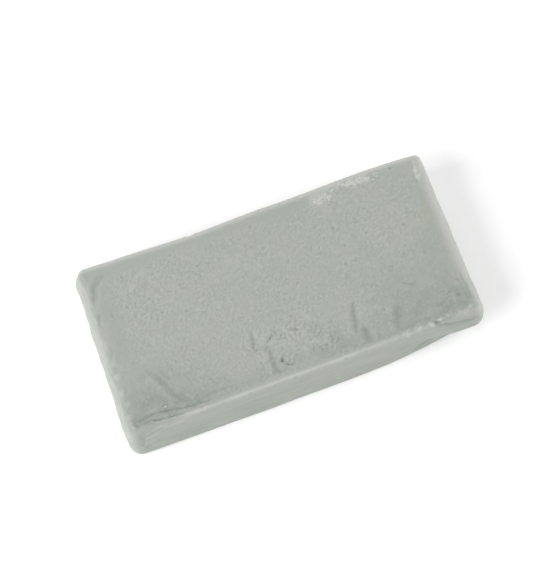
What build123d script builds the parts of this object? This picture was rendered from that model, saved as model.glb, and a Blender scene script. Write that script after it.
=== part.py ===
from build123d import *
import os
from math import radians, tan

# A bar of detailing clay: one kneadable block, pressed in a shallow mould and lying on its flat underside.
# Millimetres. X runs along the length, Y from the front to the back, Z up.
# The origin is the middle of the bar's box, on the surface that it lies on.

# Overall size
length = 92.0
width = 49.3
thickness = 13.0

# Outline seen from above
back_left_corner = 2.4
back_right_corner = 1.8
front_right_corner = 3.6
front_left_corner = 3.4
back_taper = 1.0
back_hollow = 0.35
right_end_bow = 0.5

# Section from front to back: a raised lip along the front, and a top that falls away to the back edge
lip_height = 1.0
lip_run = 12.0
lip_rounding = 0.8
back_fall = 0.5
back_run = 4.5
back_rounding = 1.3
underside_rounding = 1.0

# Section from end to end: each end rolls over into a short ramp up to the top
end_rounding = 3.0
end_roll = 3.3
end_ramp_angle = 20.0

# The lower front slopes in towards the right-hand corner, where the bar was squeezed
undercut_depth = 3.2
undercut_length = 38.0
undercut_height = 7.5

# Sides of the box that the bar is drawn in, and the flat of its top behind the lip
left = -length / 2
right = length / 2
front = -width / 2
back = width / 2
top = thickness - lip_height


def rounded(face, corners):
    """Round a flat face at each corner, given as a point and that corner's radius."""
    for point, radius in corners:
        corner = face.vertices().sort_by_distance(Vector(*point))[0]
        face = face.fillet_2d(radius, [corner])
    return face


def outline():
    """The bar seen from above: straight front and left end, bowed right end, slightly hollow back."""
    front_right = (right - right_end_bow, front)
    widest = (right, front / 2)
    back_right = (right - right_end_bow, back - back_taper)
    with BuildLine() as edge:
        Line((left, front), front_right)
        ThreePointArc(front_right, widest, back_right)
        SagittaArc(back_right, (left, back), -back_hollow)
        Line((left, back), (left, front))
    corners = [
        ((left, front, 0), front_left_corner),
        ((*front_right, 0), front_right_corner),
        ((*back_right, 0), back_right_corner),
        ((left, back, 0), back_left_corner),
    ]
    return rounded(make_face(edge.line).face(), corners)


def cross_section():
    """The bar cut from front to back: its flat top swells up into the lip along the front."""
    back_edge = (back, top - back_fall)
    lip_foot = (front + lip_run, top)
    lip_crest = (front + lip_rounding, thickness)
    lip_edge = (front, thickness - lip_rounding)
    forwards = (-1, 0)
    with BuildLine(Plane.YZ) as edge:
        Line((front, 0), (back, 0))
        Line((back, 0), back_edge)
        Line(back_edge, (back - back_run, top))
        Line((back - back_run, top), lip_foot)
        Spline(lip_foot, lip_crest, tangents=[forwards, forwards])
        TangentArc(lip_crest, lip_edge, tangent=forwards)
        Line(lip_edge, (front, 0))
    corners = [
        ((0, front, 0), underside_rounding),
        ((0, back, 0), underside_rounding),
        ((0, *back_edge), back_rounding),
    ]
    return rounded(make_face(edge.line).face(), corners)


def long_section():
    """The bar cut from end to end: a ramp rises inwards from each rounded shoulder, past the top."""
    rise = tan(radians(end_ramp_angle))
    shoulder = top - end_roll * rise
    ridge = shoulder + length / 2 * rise
    with BuildLine(Plane.XZ) as edge:
        Polyline((left, 0), (right, 0), (right, shoulder), (0, ridge), (left, shoulder), close=True)
    corners = [
        ((left, 0, 0), underside_rounding),
        ((right, 0, 0), underside_rounding),
        ((right, 0, shoulder), end_rounding),
        ((left, 0, shoulder), end_rounding),
    ]
    return rounded(make_face(edge.line).face(), corners)


def undercut():
    """The wedge missing below the front right-hand corner."""
    start = Vector(right - undercut_length, front, 0)
    deep = Vector(right, front + undercut_depth, 0)
    high = Vector(right, front, undercut_height)
    outwards = (deep - start).cross(high - start)
    slope = Plane(origin=start, x_dir=deep - start, z_dir=outwards)
    return extrude(slope * Rectangle(3 * length, 3 * length), amount=width)


def clay_bar():
    """The whole block, set on its underside with the origin below the middle of its box."""
    block = extrude(outline(), amount=2 * thickness, both=True)
    block = block & extrude(cross_section(), amount=length, both=True)
    block = block & extrude(long_section(), amount=width, both=True)
    block = block - undercut()
    box = block.bounding_box()
    return Pos(-box.center().X, -box.center().Y, -box.min.Z) * block


os.makedirs("parts", exist_ok=True)
export_step(clay_bar(), "parts/clay_bar.step")
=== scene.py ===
from math import cos, radians, sin

import bpy
import numpy as np
from mathutils import Matrix, Vector


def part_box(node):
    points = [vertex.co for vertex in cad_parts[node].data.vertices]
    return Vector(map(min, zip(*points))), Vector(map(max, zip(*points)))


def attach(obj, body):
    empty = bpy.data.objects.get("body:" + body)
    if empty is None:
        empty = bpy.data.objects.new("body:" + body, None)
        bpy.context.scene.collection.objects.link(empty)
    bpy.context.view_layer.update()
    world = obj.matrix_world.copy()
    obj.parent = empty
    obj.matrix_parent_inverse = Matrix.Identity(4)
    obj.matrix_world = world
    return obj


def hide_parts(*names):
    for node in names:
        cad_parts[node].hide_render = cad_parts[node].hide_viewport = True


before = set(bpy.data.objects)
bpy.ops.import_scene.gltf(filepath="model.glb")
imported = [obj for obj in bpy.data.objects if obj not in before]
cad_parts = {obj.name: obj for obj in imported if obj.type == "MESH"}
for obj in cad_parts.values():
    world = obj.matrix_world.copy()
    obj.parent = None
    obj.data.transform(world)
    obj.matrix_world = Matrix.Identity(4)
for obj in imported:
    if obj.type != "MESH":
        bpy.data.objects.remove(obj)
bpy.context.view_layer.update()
mm = 0.001

# ---------------------------------------------------------------------------------------------
# The clay bar
# One lump of kneadable detailing clay, a putty filled with fine abrasive, pressed in a shallow open
# mould. The ends and the back come out rounded, the front keeps a thin lip where a blade struck it
# off, and a hand squeezed in its lower front right. Lengths in this section are in millimetres.
# ---------------------------------------------------------------------------------------------

low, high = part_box("clay_bar")
left, front, floor_level = low / mm
right, back, lip_top = high / mm

# Sides seen from above: how far each lies inside the box
back_inset = ((0.0, 0.0), (0.12, 0.55), (0.36, 1.55), (0.55, 1.2), (0.84, 0.72), (1.0, 1.35))
right_bow = 0.25
right_bulge = 0.2
corner_rounding = {"front_left": 3.0, "front_right": 3.6, "back_left": 3.3, "back_right": 1.1}

# Roundings over the top edge of each side, and round the underside
left_end_rounding = 4.0
right_end_rounding = 4.4
right_end_sharpening = 1.7
back_rounding = 1.2
lip_rounding = 0.55
lip_softer_left = 1.3
lip_softer_right = 2.3
edge_blend = 1.2
underside_rounding = 1.0
underside_softer_corner = 0.5

# The top: a flat that dips a little, falls away to the back, and swells up into the front lip
lip_height_left = 1.0
lip_height_right = 1.6
lip_run_left = 6.0
lip_run_right = 10.5
lip_set_back = 0.6
back_fall = 0.5
back_run = 5.0
top_swell = 0.14

# The ends: a shallow gutter inside the left rim, wandering in and out
gutter_inset = 3.4
gutter_half_width = 0.8
gutter_depth = 0.18
gutter_wander = 0.7

# The front: it leans in towards the bottom right, under a roll of clay at the corner
squeeze_start = 8.0
squeeze_full = 37.0
squeeze_depth = 2.4
squeeze_below_lip = 1.0
roll_start = 34.5
roll_bottom = 5.6
roll_middle = 7.2
roll_depth = 0.45
roll_half_height = 1.7
roll_run = 3.0

# Grid over the block's box: cells along each side, and how much finer they get at an edge
cells_long = 321
cells_wide = 174
cells_high = 30
lip_fineness = 2.2
top_edge_fineness = 2.4
underside_stride = 3
core_inset = 6.0
cast_reach = 1.6
cast_halvings = 26


def smoothstep(start, end, t):
    u = np.clip((t - start) / (end - start), 0, 1)
    return u * u * (3 - 2 * u)


def eased_line(points, t):
    """A line through a few points, level at each of them."""
    places, values = np.array(points).T
    step = np.clip(np.searchsorted(places, t, side="right") - 1, 0, len(places) - 2)
    share = smoothstep(places[step], places[step + 1], t)
    return values[step] + (values[step + 1] - values[step]) * share


def swell(x, y, wavelength, phase):
    """A slow unevenness between -1 and 1, from a few crossed waves."""
    k = 2 * np.pi / wavelength
    waves = (
        np.sin(k * (x + 0.37 * y) + phase)
        + np.sin(k * 1.63 * (0.42 * x - y) + 2.1 * phase)
        + np.sin(k * 2.41 * (0.8 * x + 0.9 * y) + 3.7 * phase) * 0.6
    )
    return waves / 2.6


def patch(x, y, middle, reach):
    """1 in the middle of an oval patch, fading to 0 at about twice its reach."""
    return np.exp(-(((x - middle[0]) / reach[0]) ** 2) - ((y - middle[1]) / reach[1]) ** 2)


def rounded_max(a, b, radius):
    """The larger of two distances, with the ridge between them rounded to a radius."""
    over = np.hypot(np.maximum(a + radius, 0), np.maximum(b + radius, 0)) - radius
    return np.where((a > -radius) & (b > -radius), over, np.maximum(a, b))


def front_lean(x, z):
    """How far the front lies behind the box's front face."""
    across = np.clip((x - squeeze_start) / (squeeze_full - squeeze_start), 0, 1.25)
    at_roll = smoothstep(roll_start - 2 * roll_run, roll_start + roll_run, x)
    squeeze_top = lip_top - squeeze_below_lip
    lean_top = squeeze_top - (squeeze_top - roll_bottom) * at_roll
    lean_end = 0.55 * lean_top * smoothstep(roll_start - 2, roll_start + roll_run, x)
    depth = squeeze_depth * across**2 * (1 - smoothstep(lean_end, lean_top, z))
    roll = roll_depth * smoothstep(roll_start, roll_start + roll_run, x)
    roll = roll * np.exp(-(((z - roll_middle) / roll_half_height) ** 2))
    return depth - roll + 0.07 * swell(x, 2 * z, 31, 0.6)


def top_level(x, y):
    """Height of the top above any place in the outline."""
    rightwards = smoothstep(-5, 32, x)
    height = lip_height_left + (lip_height_right - lip_height_left) * rightwards
    run = lip_run_left + (lip_run_right - lip_run_left) * rightwards
    lip = 1 - smoothstep(0, 1, (y - front - lip_set_back) / run)
    fall = back_fall * np.clip((y - back + back_run) / back_run, 0, 1.3) ** 2
    uneven = top_swell * swell(x, y, 38, 1.3) + 0.04 * swell(x, y, 11, 0.4)
    lumps = 0.1 * lip * smoothstep(4, 14, x) * swell(x, 0.4 * y, 5.5, 2.2)
    across_gutter = (x - left - gutter_inset - gutter_wander * swell(y, 0, 7, 0.9)) / gutter_half_width
    gutter = gutter_depth * smoothstep(4, 9, back - y) * smoothstep(2, 5, y - front)
    gutter = gutter * np.clip(0.5 + 1.1 * swell(y, 0, 6, 2.0), 0, 1.4) * np.exp(-(across_gutter**2))
    return lip_top - height * (1 - lip) + uneven * (1 - lip) - fall + lumps - gutter


def outside(points):
    """Distance of each point from the block's surface, negative inside."""
    x, y, z = points.T
    over_left = left - x + 0.12 * swell(2 * y, z, 27, 0.2) - 0.04 + 0.06 * swell(y, z, 4.5, 1.7)
    over_right = x - right - right_bulge + right_bow * (y / back) ** 2 + 0.06 * swell(2 * y, z, 23, 1.1)
    over_front = front + front_lean(x, z) - y
    over_back = y - back + eased_line(back_inset, (x - left) / (right - left))
    over_top = z - top_level(x, y)
    corner = np.where(
        y < 0,
        np.where(x < 0, corner_rounding["front_left"], corner_rounding["front_right"]),
        np.where(x < 0, corner_rounding["back_left"], corner_rounding["back_right"]),
    )
    ends = np.maximum(over_left, over_right)
    walls = rounded_max(ends, np.maximum(over_front, over_back), corner)
    near = np.exp(np.stack([over_left, over_right, over_front, over_back]) / edge_blend)
    lip_edge = lip_rounding + lip_softer_left * smoothstep(-31, -38, x)
    lip_edge = lip_edge + lip_softer_right * smoothstep(31, 39, x)
    right_edge = right_end_rounding - right_end_sharpening * smoothstep(10, 22, y)
    edges = np.stack([left_end_rounding + 0 * x, right_edge, lip_edge, back_rounding + 0 * x])
    rounding = (edges * near).sum(0) / near.sum(0)
    body = rounded_max(walls, over_top, rounding)
    under = underside_rounding + underside_softer_corner * patch(x, y, (left + 2, front), (7, 6))
    return rounded_max(body, floor_level - z, under)


def grid_lines(start, end, cells, fine_start=1.0, fine_end=1.0, reach=2.5):
    """Positions of grid lines, closer together by a factor towards either end."""
    even = np.linspace(start, end, 4001)
    density = 1 + (fine_start - 1) * np.exp(-(even - start) / reach)
    density = density + (fine_end - 1) * np.exp(-(end - even) / reach)
    run = np.concatenate([[0], np.cumsum(density[1:] + density[:-1])])
    return np.interp(np.linspace(0, run[-1], cells + 1), run, even)


def block_points():
    """The grid's corners over the box, and their index by grid line."""
    xs = grid_lines(left, right, cells_long, 1.3, 1.3)
    ys = grid_lines(front, back, cells_wide, lip_fineness, 1.3)
    zs = grid_lines(floor_level, lip_top, cells_high, 1.5, top_edge_fineness, 1.6)
    index = {}
    points = []
    for k, z in enumerate(zs):
        for i, x in enumerate(xs):
            for j, y in enumerate(ys):
                wall = i in (0, cells_long) or j in (0, cells_wide)
                under = k == 0 and i % underside_stride == 0 and j % underside_stride == 0
                if wall or k == cells_high or under:
                    index[i, j, k] = len(points)
                    points.append((x, y, z))
    return np.array(points), index


def block_faces(index):
    """Faces over the box, wound outwards, with wider cells on the underside."""
    nx, ny, nz = cells_long, cells_wide, cells_high
    faces = []
    for i in range(nx):
        for j in range(ny):
            faces.append([index[a, b, nz] for a, b in ((i, j), (i + 1, j), (i + 1, j + 1), (i, j + 1))])
    for k in range(nz):
        for i in range(nx):
            faces.append([index[a, 0, c] for a, c in ((i, k), (i + 1, k), (i + 1, k + 1), (i, k + 1))])
            faces.append([index[a, ny, c] for a, c in ((i + 1, k), (i, k), (i, k + 1), (i + 1, k + 1))])
        for j in range(ny):
            faces.append([index[nx, b, c] for b, c in ((j, k), (j + 1, k), (j + 1, k + 1), (j, k + 1))])
            faces.append([index[0, b, c] for b, c in ((j + 1, k), (j, k), (j, k + 1), (j + 1, k + 1))])
    step = underside_stride
    for i in range(0, nx, step):
        for j in range(0, ny, step):
            far_i = i + step
            far_j = j + step
            ring = [(i, b) for b in range(j, far_j)] if i == 0 else [(i, j)]
            ring += [(a, far_j) for a in range(i, far_i)] if far_j == ny else [(i, far_j)]
            ring += [(far_i, b) for b in range(far_j, j, -1)] if far_i == nx else [(far_i, far_j)]
            ring += [(a, j) for a in range(far_i, i, -1)] if j == 0 else [(far_i, j)]
            faces.append([index[a, b, 0] for a, b in ring])
    return faces


def cast_onto_block(points):
    """Moves each point of the box along its line from the block's core onto the surface."""
    core_low = np.array([left, front, floor_level + core_inset])
    core_high = np.array([right, back, lip_top - core_inset])
    core_low[:2] += core_inset
    core_high[:2] -= core_inset
    start = np.clip(points, core_low, core_high)
    held = np.zeros(len(points))
    passed = np.full(len(points), cast_reach)
    for _ in range(cast_halvings):
        middle = (held + passed) / 2
        is_out = outside(start + (points - start) * middle[:, None]) > 0
        passed = np.where(is_out, middle, passed)
        held = np.where(is_out, held, middle)
    return start + (points - start) * held[:, None]


def keep(mesh, name, values):
    """Stores one number per point on the mesh, for the relief or the colour to read."""
    mesh.attributes.new(name, "FLOAT", "POINT").data.foreach_set("value", values.astype(np.float32))


box_points, point_index = block_points()
skin = cast_onto_block(box_points)
block_mesh = bpy.data.meshes.new("clay_block")
block_mesh.from_pydata((skin * mm).tolist(), [], block_faces(point_index))
block_mesh.shade_smooth()

# How strong the grain is: the mould's face printed it on the top, and handling wore it off the
# edges. Crumbs of dry clay stand on it along the back, at the right end and on the front lip.
x, y, z = skin.T
on_top = smoothstep(lip_top - 2.4, lip_top - 1.7, z)
from_back = back - eased_line(back_inset, (x - left) / (right - left)) - y
from_edges = (
    smoothstep(3.6, 9.5, x - left)
    * smoothstep(2.5, 7.0, right - x)
    * smoothstep(2.8, 5.8, from_back)
    * smoothstep(0.4, 2.0, y - front)
)
grain = 0.82 + 0.25 * patch(x, y, (-30, 11), (10, 9)) + 0.15 * patch(x, y, (26, 7), (13, 8))
grain = grain - 0.3 * patch(x, y, (-36, -12), (9, 9)) - 0.35 * patch(x, y, (37, -10), (8, 12))
grain = grain * (0.95 + 0.3 * swell(x, y, 15, 0.9))
grain = grain + 0.9 * patch(x, y, (-2, -12.5), (5, 2.5)) + 0.6 * patch(x, y, (8, -18), (7, 3.5))
crumbs = 1.2 * patch(x, y, (19.4, 19.6), (3.1, 1.7)) + 0.6 * patch(x, y, (23.5, 22.0), (4.5, 1.0))
crumbs = crumbs + 1.4 * patch(x, y, (29.7, 21.0), (4.8, 1.3)) + 0.4 * patch(x, y, (24.5, 23.6), (9.5, 0.9))
crumbs = crumbs + 1.0 * patch(x, y, (43.4, 17.4), (0.9, 3.4)) + 0.8 * patch(x, y, (9.0, 23.7), (5.5, 0.7))
lip_crumbs = (
    (25.9, -24.1, 1.0),
    (29.4, -24.0, 1.1),
    (32.3, -24.0, 1.0),
    (35.0, -23.4, 0.9),
    (36.9, -23.0, 0.7),
)
for px, py, reach in lip_crumbs:
    crumbs = crumbs + 0.9 * patch(x, y, (px, py), (reach, 0.7))
crumbs = crumbs + 0.6 * patch(x, y, (42.2, -23.2), (1.6, 1.0))
crumbs = crumbs + 1.6 * patch(x, y, (-34.4, -20.1), (0.4, 0.4))
keep(block_mesh, "grain", 0.12 + grain * on_top * from_edges + 1.7 * crumbs * on_top)

# Where the mould drew it along: the walls, and the rim outside the gutter at the left end
wander = gutter_wander * swell(y, 0, 7, 0.9)
on_left_rim = smoothstep(3.9, 2.2, x - left - wander)
drawn = np.maximum(1 - on_top, on_left_rim) * (1 + 0.2 * on_left_rim) * smoothstep(0.2, 1.2, z)
keep(block_mesh, "drawn", drawn)

# Painted shade where the top dips into the foot of the front lip, in the front corners and where the back
# falls away, with a darker band along the front and patches of uneven tone over the top
near_lip = smoothstep(9.5, 3.0, y - front) * smoothstep(0.9, 1.9, y - front) * on_top
painted_shade_and_tone = near_lip * (0.65 + 0.5 * smoothstep(5, 30, x))
painted_shade_and_tone = painted_shade_and_tone + 0.95 * on_top * patch(x, y, (32, -15), (10, 6.5))
painted_shade_and_tone = painted_shade_and_tone + 1.3 * on_top * patch(x, y, (-35, -18), (12, 7.5))
painted_shade_and_tone = painted_shade_and_tone + 0.12 * on_top * smoothstep(5.0, 2.6, from_back)
painted_shade_and_tone = painted_shade_and_tone + 0.4 * patch(x, y, (9, -18), (6, 3.5)) + 0.5 * patch(x, y, (41, -19), (3.5, 5))
painted_shade_and_tone = painted_shade_and_tone + 0.45 * on_top * patch(x, y, (39.5, -4), (2.2, 15))
painted_shade_and_tone = painted_shade_and_tone + 0.3 * on_top * patch(x, y, (-39.5, 8), (2.6, 16))
painted_shade_and_tone = painted_shade_and_tone + 0.3 * on_top * patch(x, y, (27, -6), (13, 6))
painted_shade_and_tone = painted_shade_and_tone + 0.22 * on_top * patch(x, y, (0, 17), (13, 4))
painted_shade_and_tone = painted_shade_and_tone + 0.16 * on_top * np.maximum(swell(0.5 * x, y, 17, 2.6), 0)
painted_shade_and_tone = painted_shade_and_tone + 0.35 * (1 - on_top) * patch(x, z, (-20, 5.5), (18, 2.2)) * smoothstep(0, -8, y)
keep(block_mesh, "painted_shade_and_tone", painted_shade_and_tone * smoothstep(0.2, 1.4, from_back))

# The rims, painted paler as a highlight where light grazes them: the left end, the right end, the back, and
# the top of the front at its ends; then smaller spots rubbed paler at the back and the right end, and a paler
# foot
rim_highlight_and_wear = 0.3 * on_left_rim + 0.15 * smoothstep(2.0, 1.2, x - left)
rim_highlight_and_wear = rim_highlight_and_wear + 0.6 * smoothstep(4.4, 1.6, right - x) * (1 - 0.5 * patch(x, y, (42, -20), (6, 7)))
rim_highlight_and_wear = rim_highlight_and_wear + 0.25 * smoothstep(2.2, 0.7, right - x)
rim_highlight_and_wear = np.maximum(rim_highlight_and_wear, smoothstep(2.6, 0.8, from_back)) * (0.15 + 0.85 * smoothstep(6.5, 11.0, z))
rim_highlight_and_wear = np.maximum(rim_highlight_and_wear, 0.6 * patch(x, z, (-33, lip_top - 1.8), (5, 1.3)) * smoothstep(-20, -23, y))
rim_highlight_and_wear = np.maximum(rim_highlight_and_wear, 0.5 * on_top * patch(x, y, (40.5, -23.4), (4.0, 1.3)))
rim_highlight_and_wear = np.maximum(rim_highlight_and_wear, 0.9 * on_top * patch(x, y, (22.5, 22.6), (6.5, 1.5)))
rim_highlight_and_wear = np.maximum(rim_highlight_and_wear, 0.8 * on_top * patch(x, y, (17.8, 20.6), (2.4, 3.0)))
rim_highlight_and_wear = np.maximum(rim_highlight_and_wear, 0.8 * on_top * patch(x, y, (44.2, 18.5), (1.5, 5)))
rim_highlight_and_wear = np.maximum(rim_highlight_and_wear, 0.4 * smoothstep(1.6, 0.4, z))
keep(block_mesh, "rim_highlight_and_wear", rim_highlight_and_wear)

# The thin pale line along the crest of the lip, a painted highlight, and a few spots that lean to olive
crest_highlight = patch(y, 0 * y, (front + 0.35, 0), (0.36, 1)) * smoothstep(lip_top - 1.2, lip_top - 0.5, z)
crest_highlight = crest_highlight * smoothstep(-34, -28, x) * (0.8 - 0.5 * smoothstep(12, 26, x)) * smoothstep(40, 33, x)
crest_highlight = crest_highlight * (1 + 0.25 * swell(x, 0, 9, 1.4))
keep(block_mesh, "crest_highlight", crest_highlight)
olive = patch(x, y, (-13, -22.6), (5, 1.0)) + patch(x, y, (41.8, 2), (1.3, 12))
olive = olive + patch(x, y, (-43, -21.5), (1.5, 2))
keep(block_mesh, "olive", olive * on_top)
keep(block_mesh, "scuff", crumbs * smoothstep(lip_top - 5, lip_top - 2, z))

# Creases pressed or folded into it, ridges where the depth is below nought: half width, depth, and
# the way along the top from place to place
top_creases = (
    (0.90, 0.28, ((-35.8, -9.1), (-33.3, -12.6), (-31.7, -16.3), (-29.9, -19.4), (-28.2, -21.2))),
    (0.50, 0.12, ((-32.9, -9.4), (-32.0, -11.8), (-31.2, -14.4))),
    (0.42, 0.40, ((-41.6, -21.7), (-39.6, -20.9), (-36.8, -20.5), (-33.1, -21.2), (-29.6, -22.0))),
    (0.40, 0.44, ((-34.0, -21.0), (-29.6, -22.0), (-26.4, -22.3), (-23.1, -22.4))),
    (0.36, 0.40, ((-41.4, -22.6), (-39.0, -22.3), (-36.3, -22.9), (-32.1, -23.3), (-29.9, -23.4))),
    (0.80, 0.14, ((-42.9, -22.2), (-42.0, -22.6), (-41.4, -23.6))),
    (0.55, -0.22, ((-43.6, -20.2), (-43.2, -21.9), (-42.7, -23.4))),
    (0.50, 0.24, ((-25.8, -21.5), (-21.6, -20.6), (-19.1, -20.5), (-16.4, -20.7))),
    (0.60, 0.26, ((-8.8, -8.4), (-9.2, -11.0), (-9.4, -13.5), (-9.3, -15.0))),
    (0.80, 0.16, ((-9.0, -13.2), (-7.6, -13.8), (-6.2, -14.6))),
    (0.85, 0.32, ((-6.3, -13.4), (-6.2, -16.2), (-6.1, -19.4), (-5.8, -22.8))),
    (0.45, 0.34, ((-3.0, -10.8), (-4.6, -11.7), (-6.1, -13.0))),
    (0.38, -0.15, ((-5.0, -10.9), (-6.4, -11.9), (-8.0, -12.7))),
    (0.42, 0.32, ((0.2, -12.2), (1.4, -11.9), (2.6, -12.7))),
    (0.32, -0.18, ((-1.0, -13.7), (-0.3, -14.9), (0.5, -16.2))),
    (0.30, -0.16, ((-1.1, -15.2), (0.6, -14.3))),
    (0.60, 0.52, ((-3.7, -18.3), (-4.1, -18.9), (-4.5, -19.3))),
    (0.45, 0.40, ((-3.6, -20.2), (-2.6, -20.8), (-1.6, -21.1))),
    (0.85, 0.34, ((16.8, -10.2), (16.5, -11.8), (15.9, -14.8), (15.1, -18.8))),
    (1.05, 0.42, ((17.5, -17.2), (17.3, -20.6), (17.7, -23.0))),
    (1.20, 0.36, ((27.0, -14.2), (25.8, -18.9), (24.9, -22.4))),
    (0.34, 0.26, ((29.8, -9.9), (30.7, -10.6), (32.1, -11.5), (32.9, -10.8))),
    (0.60, 0.50, ((32.8, -24.0), (33.9, -24.3), (35.2, -24.5))),
    (0.40, 0.26, ((34.8, -24.3), (37.0, -24.5), (39.5, -24.6))),
    (0.35, 0.18, ((44.1, -12.0), (44.9, -15.6), (44.6, -19.2))),
    (0.85, 0.30, ((-38.3, 20.3), (-40.5, 18.9), (-42.0, 16.8), (-43.1, 13.0))),
    (0.60, 0.26, ((-43.8, 6.4), (-43.1, 8.6), (-42.6, 10.5))),
    (0.80, 0.20, ((41.7, -20.6), (41.4, -18.0), (41.2, -15.0))),
)

# The same along the front, as places in length and height
front_creases = (
    (0.48, 0.45, ((33.0, 12.4), (35.0, 11.5), (38.0, 10.3), (41.0, 9.5), (44.0, 8.9))),
    (1.30, 0.16, ((-41.2, 12.8), (-41.8, 9.0), (-42.3, 5.5), (-42.2, 3.0))),
    (0.55, -0.22, ((-42.4, 7.8), (-39.8, 9.2), (-37.0, 9.8))),
    (0.60, -0.18, ((-43.6, 3.8), (-41.6, 5.6), (-39.0, 6.4))),
    (0.50, -0.18, ((-40.4, 11.0), (-37.7, 12.0), (-34.7, 11.9))),
    (0.45, 0.18, ((-40.8, 9.8), (-38.2, 10.9), (-35.6, 11.0))),
    (0.70, 0.14, ((-41.6, 5.6), (-36.1, 4.6), (-31.6, 3.8), (-25.0, 3.6))),
    (0.80, 0.34, ((27.4, 2.4), (29.9, 3.7), (31.8, 4.6))),
)

# Dents, or bumps where the depth is below nought: place on the top, radius and depth
dents = (
    ((-0.4, -18.6), 0.34, 0.36),
    ((-2.3, -12.2), 0.36, 0.28),
    ((-2.5, -17.8), 0.36, -0.20),
    ((2.1, -18.8), 0.42, 0.20),
    ((7.1, -19.0), 0.55, 0.30),
    ((0.6, -20.6), 0.30, -0.14),
    ((-0.9, -20.1), 0.30, -0.12),
    ((5.5, -13.6), 1.90, 0.12),
    ((4.0, -9.6), 0.50, 0.16),
    ((-5.0, -7.4), 0.45, 0.12),
    ((5.9, -0.6), 0.45, 0.20),
    ((9.3, -4.0), 0.40, 0.16),
    ((12.7, 1.8), 0.40, 0.16),
    ((34.0, -0.8), 0.50, 0.24),
    ((38.1, -4.5), 0.50, 0.20),
    ((19.0, 10.8), 0.50, 0.22),
    ((15.0, 12.8), 0.50, 0.22),
    ((-12.7, 13.3), 0.50, 0.12),
    ((37.8, 21.3), 0.50, 0.28),
    ((28.3, 21.4), 0.40, 0.22),
    ((39.9, -16.6), 0.50, 0.28),
    ((40.5, -15.9), 0.40, -0.16),
    ((41.0, -18.3), 0.55, 0.32),
    ((42.8, -13.9), 0.50, 0.24),
    ((40.8, -23.8), 0.75, -0.18),
    ((42.9, -22.8), 0.75, -0.18),
    ((-34.4, -20.0), 0.30, -0.36),
    ((-34.7, -18.4), 0.30, 0.14),
    ((-33.4, -19.3), 0.30, 0.14),
    ((-35.6, -18.9), 0.30, 0.14),
    ((-43.2, -3.6), 0.80, -0.16),
    ((-42.9, -7.5), 0.90, -0.18),
    ((-42.7, -12.1), 0.80, -0.18),
    ((-42.6, -15.6), 0.90, -0.18),
    ((-43.0, -19.0), 0.80, -0.18),
    ((-15.0, 24.3), 0.80, 0.30),
    ((-2.5, 22.5), 0.50, 0.20),
    ((3.5, 22.7), 0.60, 0.20),
    ((9.0, 22.8), 0.50, 0.22),
    ((13.5, 22.9), 0.60, 0.26),
    ((22.0, 22.1), 0.45, 0.22),
    ((31.5, 22.2), 0.45, 0.22),
    ((-26.0, -24.0), 0.50, 0.18),
    ((-20.5, -24.2), 0.45, 0.16),
    ((-14.0, -24.2), 0.50, 0.18),
    ((-8.0, -24.2), 0.40, 0.16),
    ((-2.4, -24.1), 0.60, 0.24),
    ((5.0, -24.2), 0.40, 0.16),
    ((10.5, -24.2), 0.50, 0.18),
    ((15.5, -24.1), 0.50, 0.20),
    ((23.0, -24.0), 0.70, -0.16),
    ((26.2, -24.0), 0.80, -0.22),
    ((29.3, -23.9), 0.90, -0.24),
    ((32.2, -23.9), 0.80, -0.22),
    ((35.0, -23.3), 0.80, -0.20),
)

# Pinholes where air sat against the mould
pinhole_count = 60
pinhole_seed = 4

# The way that the mould drew the walls along, and how little its lines change that way
draw_slant = (0.03, 0.12, 1.0)
draw_stretch = (0.09, 0.09, 0.0)


class Bench:
    """Adds nodes to one tree: settings by name, then values or links in the order of the inputs."""

    def __init__(self, tree):
        self.tree = tree

    def add(self, kind, *values, **settings):
        made = self.tree.nodes.new(kind)
        for name, value in settings.items():
            setattr(made, name, value)
        for socket, value in zip(made.inputs, values):
            if isinstance(value, bpy.types.NodeSocket):
                self.tree.links.new(value, socket)
            elif value is not None:
                socket.default_value = value
        return made

    def math(self, operation, *values):
        return self.add("ShaderNodeMath", *values, operation=operation).outputs[0]

    def vector(self, operation, *values):
        return self.add("ShaderNodeVectorMath", *values, operation=operation)

    def drawn_along(self, place):
        """A place squeezed along the walls, so that noise read at it makes long faint lines."""
        slanted = self.vector("DOT_PRODUCT", place, draw_slant).outputs[1]
        stretched = self.vector("MULTIPLY", place, draw_stretch).outputs[0]
        upright = self.add("ShaderNodeCombineXYZ", None, None, slanted).outputs[0]
        return self.vector("ADD", stretched, upright).outputs[0]


def guide_object(name, lines, edges, widths, depths):
    """A bare mesh of guide points in the block's frame, with a width and a depth at each."""
    mesh = bpy.data.meshes.new(name)
    mesh.from_pydata([tuple(c * mm for c in point) for point in lines], edges, [])
    keep(mesh, "half_width", np.array(widths) * mm)
    keep(mesh, "depth", np.array(depths) * mm)
    guide = bpy.data.objects.new(name, mesh)
    bpy.context.scene.collection.objects.link(guide)
    return guide


def crease_guide():
    """The creases listed above, each a bare line over the top or along the front."""
    points, edges, widths, depths = [], [], [], []
    ways = [(w, d, [(px, py, lip_top) for px, py in way]) for w, d, way in top_creases]
    ways += [(w, d, [(px, front, pz) for px, pz in way]) for w, d, way in front_creases]
    for half_width, depth, way in ways:
        start = len(points)
        points += way
        edges += [(n, n + 1) for n in range(start, len(points) - 1)]
        widths += [half_width] * len(way)
        depths += [depth] * len(way)
    return guide_object("crease_guide", points, edges, widths, depths)


def dent_guide():
    """The dents listed above, and a scatter of pinholes over the rest of the top."""
    chance = np.random.default_rng(pinhole_seed)
    pinholes = [
        ((chance.uniform(left + 5, right - 5), chance.uniform(front + 7, back - 4)), size, size * 0.5)
        for size in chance.uniform(0.22, 0.42, pinhole_count)
    ]
    every = list(dents) + pinholes
    points = [(px, py, lip_top - 0.6) for (px, py), _, _ in every]
    return guide_object("dent_guide", points, [], [r for _, r, _ in every], [d for _, _, d in every])


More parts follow.
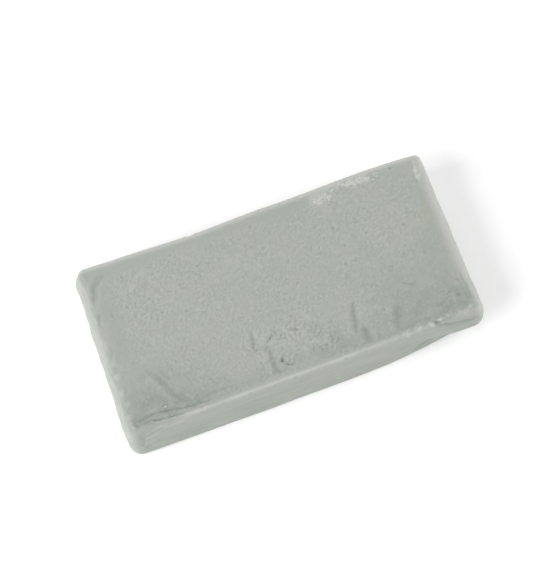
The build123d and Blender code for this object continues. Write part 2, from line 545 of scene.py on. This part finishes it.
def relief_tree():
    """Presses grain, creases and dents into a block, and notes how deep it was pressed."""
    tree = bpy.data.node_groups.new("clay_relief", "GeometryNodeTree")
    face = tree.interface
    face.new_socket("Block", in_out="INPUT", socket_type="NodeSocketGeometry")
    face.new_socket("Crease Guide", in_out="INPUT", socket_type="NodeSocketObject")
    face.new_socket("Dent Guide", in_out="INPUT", socket_type="NodeSocketObject")
    face.new_socket("Clay", in_out="INPUT", socket_type="NodeSocketMaterial")
    amounts = ("Grain Size", "Grain Depth", "Draw Depth", "Raggedness", "Heap Height", "Guide Step")
    for name in (*amounts, "Seed"):
        face.new_socket(name, in_out="INPUT", socket_type="NodeSocketFloat")
    face.new_socket("Bar", in_out="OUTPUT", socket_type="NodeSocketGeometry")
    b = Bench(tree)
    given = b.add("NodeGroupInput").outputs
    place = b.add("GeometryNodeInputPosition").outputs[0]

    seed = b.add("ShaderNodeCombineXYZ", given["Seed"]).outputs[0]
    shifted = b.vector("ADD", place, seed).outputs[0]
    astray = b.add("ShaderNodeTexNoise", shifted, None, 1 / (2.4 * mm), 1.5, 0.5).outputs[1]
    astray = b.vector("SUBTRACT", astray, (0.5, 0.5, 0.5)).outputs[0]
    ragged = b.vector("SCALE", astray)
    tree.links.new(given["Raggedness"], ragged.inputs["Scale"])
    ragged = b.vector("ADD", place, ragged.outputs[0]).outputs[0]

    def named(name):
        return b.add("GeometryNodeInputNamedAttribute", name, data_type="FLOAT").outputs["Attribute"]

    def pressed(guide, element):
        """Depth pressed in by the nearest part of a guide: a hollow, with its clay heaped beside it."""
        spot = b.add("GeometryNodeProximity", guide, None, ragged, target_element=element).outputs["Distance"]
        nearest = b.add("GeometryNodeSampleNearest", guide, ragged, domain="POINT").outputs[0]
        half_width = b.add("GeometryNodeSampleIndex", guide, named("half_width"), nearest, data_type="FLOAT")
        depth = b.add("GeometryNodeSampleIndex", guide, named("depth"), nearest, data_type="FLOAT")
        across = b.math("DIVIDE", spot, half_width.outputs[0])
        hollow = b.math("EXPONENT", b.math("MULTIPLY", b.math("MULTIPLY", across, across), -1.3))
        aside = b.math("DIVIDE", b.math("SUBTRACT", across, 1.75), 0.5)
        heap = b.math("EXPONENT", b.math("MULTIPLY", b.math("MULTIPLY", aside, aside), -1.0))
        shape = b.math("SUBTRACT", hollow, b.math("MULTIPLY", heap, given["Heap Height"]))
        return b.math("MULTIPLY", shape, depth.outputs[0])

    # Crease guides become smooth lines that lie on the block and die out at both ends
    loose = b.add("GeometryNodeObjectInfo", given["Crease Guide"]).outputs["Geometry"]
    line = b.add("GeometryNodeMeshToCurve", loose).outputs[0]
    line = b.add("GeometryNodeCurveSplineType", line, spline_type="CATMULL_ROM").outputs[0]
    line = b.add("GeometryNodeResampleCurve", line, None, None, given["Guide Step"], mode="LENGTH").outputs[0]
    along = b.add("GeometryNodeSplineParameter").outputs["Factor"]
    to_end = b.math("MULTIPLY", b.math("MINIMUM", along, b.math("SUBTRACT", 1.0, along)), 4.0)
    fading = b.math("SQRT", b.math("MINIMUM", to_end, 1.0))
    faded = b.math("MULTIPLY", named("depth"), fading)
    line = b.add("GeometryNodeStoreNamedAttribute", line, None, "depth", faded, data_type="FLOAT").outputs[0]
    line = b.add("GeometryNodeCurveToMesh", line).outputs[0]
    on_block = b.add("GeometryNodeProximity", given["Block"], None, place, target_element="FACES")
    line = b.add("GeometryNodeSetPosition", line, None, on_block.outputs["Position"]).outputs[0]
    spots = b.add("GeometryNodeObjectInfo", given["Dent Guide"]).outputs["Geometry"]
    spots = b.add("GeometryNodeSetPosition", spots, None, on_block.outputs["Position"]).outputs[0]
    pushed_in = b.math("ADD", pressed(line, "EDGES"), pressed(spots, "POINTS"))

    # The grain is fine uneven pimples; the sides carry faint lines, drawn along by the mould
    fine = b.math("DIVIDE", 1.0, given["Grain Size"])
    pimples = b.add("ShaderNodeTexNoise", shifted, None, fine, 2.0, 0.6).outputs[0]
    strength = b.math("MULTIPLY", named("grain"), given["Grain Depth"])
    raised = b.math("MULTIPLY", b.math("MULTIPLY", b.math("SUBTRACT", pimples, 0.5), 3.0), strength)
    lines = b.add("ShaderNodeTexNoise", b.drawn_along(shifted), None, 1 / (1.1 * mm), 2.0, 0.55).outputs[0]
    drawn = b.math("MULTIPLY", named("drawn"), given["Draw Depth"])
    raised = b.math("ADD", raised, b.math("MULTIPLY", b.math("SUBTRACT", lines, 0.5), drawn))

    height = b.math("SUBTRACT", raised, pushed_in)
    normal = b.add("GeometryNodeInputNormal").outputs[0]
    offset = b.vector("SCALE", normal)
    tree.links.new(height, offset.inputs["Scale"])
    sunk = b.math("SUBTRACT", pushed_in, b.math("MULTIPLY", raised, 1.4))
    shape = b.add("GeometryNodeStoreNamedAttribute", given["Block"], None, "pressed", sunk, data_type="FLOAT")
    shape = b.add("GeometryNodeSetPosition", shape.outputs[0], None, None, offset.outputs[0])
    whole = b.add("GeometryNodeRealizeInstances", shape.outputs[0])
    coated = b.add("GeometryNodeSetMaterial", whole.outputs[0], None, given["Clay"])
    b.add("NodeGroupOutput", coated.outputs[0])
    return tree


def clay_material():
    """Grey-green putty: matt, faintly mottled, with painted shade in its creases and dips, a painted
    highlight along the crest of the lip and round the rims, paler rubbed spots, and chalky crumbs where it is
    scuffed.
    """
    clay = bpy.data.materials.new("grey_green_clay")
    clay.use_nodes = True
    b = Bench(clay.node_tree)
    shader = clay.node_tree.nodes["Principled BSDF"]
    shader.inputs["Specular IOR Level"].default_value = 0.5
    place = b.add("ShaderNodeTexCoord").outputs["Object"]

    def noise(size, detail=2.0, roughness=0.5):
        return b.add("ShaderNodeTexNoise", place, None, 1 / (size * mm), detail, roughness).outputs["Fac"]

    def stored(name):
        return b.add("ShaderNodeAttribute", attribute_name=name).outputs["Fac"]

    def mix(factor, first, second):
        made = b.tree.nodes.new("ShaderNodeMix")
        made.data_type = "RGBA"
        for socket, value in ((made.inputs[0], factor), (made.inputs[6], first), (made.inputs[7], second)):
            if isinstance(value, bpy.types.NodeSocket):
                b.tree.links.new(value, socket)
            else:
                socket.default_value = value
        return made.outputs[2]

    def ramp(value, start, end):
        made = b.add("ShaderNodeMapRange", value, start, end, 0.0, 1.0, interpolation_type="SMOOTHSTEP")
        return made.outputs[0]

    green = (0.348, 0.378, 0.341, 1)
    warm = (0.359, 0.377, 0.345, 1)
    dark = (0.262, 0.300, 0.260, 1)
    chalk_and_highlight = (0.505, 0.525, 0.495, 1)
    sheen_and_wear_pale = (0.520, 0.512, 0.492, 1)
    crumb = (0.570, 0.590, 0.550, 1)
    olive = (0.330, 0.362, 0.275, 1)
    full_dark_depth = 0.5 * mm
    tooth_height = 0.13 * mm
    colour = mix(ramp(noise(9.0), 0.35, 0.65), green, warm)
    streak = b.add("ShaderNodeTexNoise", b.drawn_along(place), None, 1 / (1.0 * mm), 3.0, 0.6)
    streak = ramp(streak.outputs["Fac"], 0.35, 0.7)
    streak = b.math("MULTIPLY", streak, b.math("MULTIPLY", stored("drawn"), 0.4))
    colour = mix(b.math("MULTIPLY", stored("olive"), 0.35), colour, olive)
    speckle = b.math("MULTIPLY", stored("grain"), 0.14)
    speckle = b.math("MULTIPLY", ramp(noise(0.6, 2.0, 0.6), 0.3, 0.7), speckle)
    colour = mix(speckle, colour, chalk_and_highlight)
    # Painted shade, with some uneven tone, broken up by noise and mixed towards the dark colour
    uneven = b.math("ADD", 0.3, b.math("MULTIPLY", ramp(noise(3.2, 3.0, 0.6), 0.3, 0.7), 0.45))
    colour = mix(b.math("MULTIPLY", stored("painted_shade_and_tone"), uneven), colour, dark)
    colour = mix(streak, colour, dark)
    # Painted shade in the creases and dents, darker the deeper they were pressed; raised tips are mixed paler
    crease_shade = b.math("MULTIPLY", stored("pressed"), 1 / full_dark_depth)
    colour = mix(b.math("MINIMUM", b.math("MAXIMUM", crease_shade, 0.0), 0.7), colour, dark)
    tips = b.math("MULTIPLY", crease_shade, -0.8)
    colour = mix(b.math("MINIMUM", b.math("MAXIMUM", tips, 0.0), 0.5), colour, chalk_and_highlight)
    broken = b.math("MULTIPLY", b.math("SUBTRACT", noise(0.9, 4.0, 0.7), 0.5), 3.2)
    rubbed = ramp(b.math("ADD", stored("scuff"), broken), 0.6, 1.15)
    # Painted highlight round the rims where light grazes them, with real rubbed spots, broken up by noise
    lit_and_worn = ramp(b.math("ADD", noise(2.2, 3.0, 0.6), stored("rim_highlight_and_wear")), 0.5, 1.1)
    lit_and_worn = b.math("MULTIPLY", stored("rim_highlight_and_wear"), lit_and_worn)
    colour = mix(b.math("MULTIPLY", b.math("MINIMUM", lit_and_worn, 1.4), 0.7), colour, sheen_and_wear_pale)
    # Painted highlight along the crest of the lip
    colour = mix(b.math("MULTIPLY", stored("crest_highlight"), 0.8), colour, chalk_and_highlight)
    colour = mix(b.math("MULTIPLY", rubbed, 0.75), colour, crumb)
    b.tree.links.new(colour, shader.inputs["Base Color"])
    dull = b.math("ADD", 0.47, b.math("MULTIPLY", noise(2.5), 0.10))
    b.tree.links.new(b.math("ADD", dull, b.math("MULTIPLY", rubbed, 0.2)), shader.inputs["Roughness"])
    tooth = b.math("ADD", noise(0.45, 3.0, 0.6), b.math("MULTIPLY", noise(0.16, 2.0), 0.4))
    bump = b.add("ShaderNodeBump")
    bump.inputs["Strength"].default_value = 1.0
    bump.inputs["Distance"].default_value = tooth_height
    b.tree.links.new(tooth, bump.inputs["Height"])
    b.tree.links.new(bump.outputs[0], shader.inputs["Normal"])
    return clay


def worked_bar():
    """The block with its relief pressed in, as a plain mesh."""
    block = bpy.data.objects.new("clay_block", block_mesh)
    bpy.context.scene.collection.objects.link(block)
    tree = relief_tree()
    settings = {
        "Crease Guide": crease_guide(),
        "Dent Guide": dent_guide(),
        "Clay": clay_material(),
        "Grain Size": 0.62 * mm,
        "Grain Depth": 0.22 * mm,
        "Draw Depth": 0.35 * mm,
        "Raggedness": 1.2 * mm,
        "Heap Height": 0.22,
        "Guide Step": 0.25 * mm,
        "Seed": 0.31,
    }
    relief = block.modifiers.new("relief", "NODES")
    relief.node_group = tree
    for socket in tree.interface.items_tree:
        if socket.in_out == "INPUT" and socket.name in settings:
            relief[socket.identifier] = settings[socket.name]
    evaluated = block.evaluated_get(bpy.context.evaluated_depsgraph_get())
    mesh = bpy.data.meshes.new_from_object(evaluated)
    block.modifiers.remove(relief)
    for spare in (block, settings["Crease Guide"], settings["Dent Guide"]):
        bpy.data.objects.remove(spare)
    mesh.name = "clay_bar_worked"
    bar = bpy.data.objects.new("clay_bar_worked", mesh)
    bpy.context.scene.collection.objects.link(bar)
    return bar


bar = worked_bar()
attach(bar, "root")
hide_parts("clay_bar")

# ---------------------------------------------------------------------------------------------
# The studio: a pale table that glows a little, a soft light off each end, and a low one behind.
# The air lights the bar faintly, and looks white behind the table.
# ---------------------------------------------------------------------------------------------

table_size = 1.6
table_white = 0.93
table_glow = 0.10
room_light = 0.37

table_mesh = bpy.data.meshes.new("table")
half = table_size / 2
table_corners = [(-half, -half, 0), (half, -half, 0), (half, half, 0), (-half, half, 0)]
table_mesh.from_pydata(table_corners, [], [(0, 1, 2, 3)])
table = bpy.data.objects.new("table", table_mesh)
bpy.context.scene.collection.objects.link(table)
pale = bpy.data.materials.new("pale_table")
pale.use_nodes = True
pale_shader = pale.node_tree.nodes["Principled BSDF"]
pale_shader.inputs["Base Color"].default_value = (table_white, table_white, table_white, 1)
pale_shader.inputs["Roughness"].default_value = 0.9
pale_shader.inputs["Specular IOR Level"].default_value = 0.0
pale_shader.inputs["Emission Color"].default_value = (1, 1, 1, 1)
pale_shader.inputs["Emission Strength"].default_value = table_glow
table_mesh.materials.append(pale)


def soft_light(name, azimuth, elevation, distance, size, power):
    """A square light that faces the bar from an azimuth and elevation in degrees."""
    lamp = bpy.data.lights.new(name, "AREA")
    lamp.shape = "SQUARE"
    lamp.size = size
    lamp.energy = power
    holder = bpy.data.objects.new(name, lamp)
    a, e = radians(azimuth), radians(elevation)
    away = Vector((sin(a) * cos(e), -cos(a) * cos(e), sin(e)))
    holder.location = away * distance
    holder.rotation_euler = away.to_track_quat("Z", "Y").to_euler()
    bpy.context.scene.collection.objects.link(holder)
    return holder


soft_light("left_light", -75, 29, 0.9, 0.7, 8.9)
soft_light("right_light", 77, 25, 0.9, 0.7, 5.8)
soft_light("back_light", 176, 18, 0.9, 0.5, 2.6)

world = bpy.data.worlds.new("studio_air")
bpy.context.scene.world = world
world.use_nodes = True
air = Bench(world.node_tree)
seen = air.add("ShaderNodeLightPath").outputs["Is Camera Ray"]
background = world.node_tree.nodes["Background"]
background.inputs["Color"].default_value = (1, 1, 1, 1)
strength = air.math("MULTIPLY_ADD", seen, 1 - room_light, room_light)
world.node_tree.links.new(strength, background.inputs["Strength"])
bpy.context.scene.view_settings.view_transform = "Standard"

# ---------------------------------------------------------------------------------------------
# The camera: a long lens, looking steeply down, tipped so that the bar lies aslant
# ---------------------------------------------------------------------------------------------

camera_elevation = 62.0
camera_azimuth = -3.04
camera_tip = 17.26
camera_distance = 562.4 * mm
camera_aim = Vector((1.65, 2.86, 6.5)) * mm
camera_lens = 142.1

camera_data = bpy.data.cameras.new("camera")
camera_data.lens = camera_lens
camera_data.sensor_width = 36.0
camera_data.clip_start = 0.01
camera = bpy.data.objects.new("camera", camera_data)
bpy.context.scene.collection.objects.link(camera)
turn, rise = radians(camera_azimuth), radians(camera_elevation)
towards_camera = Vector((sin(turn) * cos(rise), -cos(turn) * cos(rise), sin(rise)))
sideways = (-towards_camera).cross(Vector((0, 0, 1))).normalized()
upwards = sideways.cross(-towards_camera)
tip = radians(camera_tip)
camera_right = cos(tip) * sideways - sin(tip) * upwards
camera_up = sin(tip) * sideways + cos(tip) * upwards
axes = Matrix((camera_right, camera_up, towards_camera)).transposed()
camera.matrix_world = Matrix.Translation(camera_aim + towards_camera * camera_distance) @ axes.to_4x4()
bpy.context.scene.camera = camera
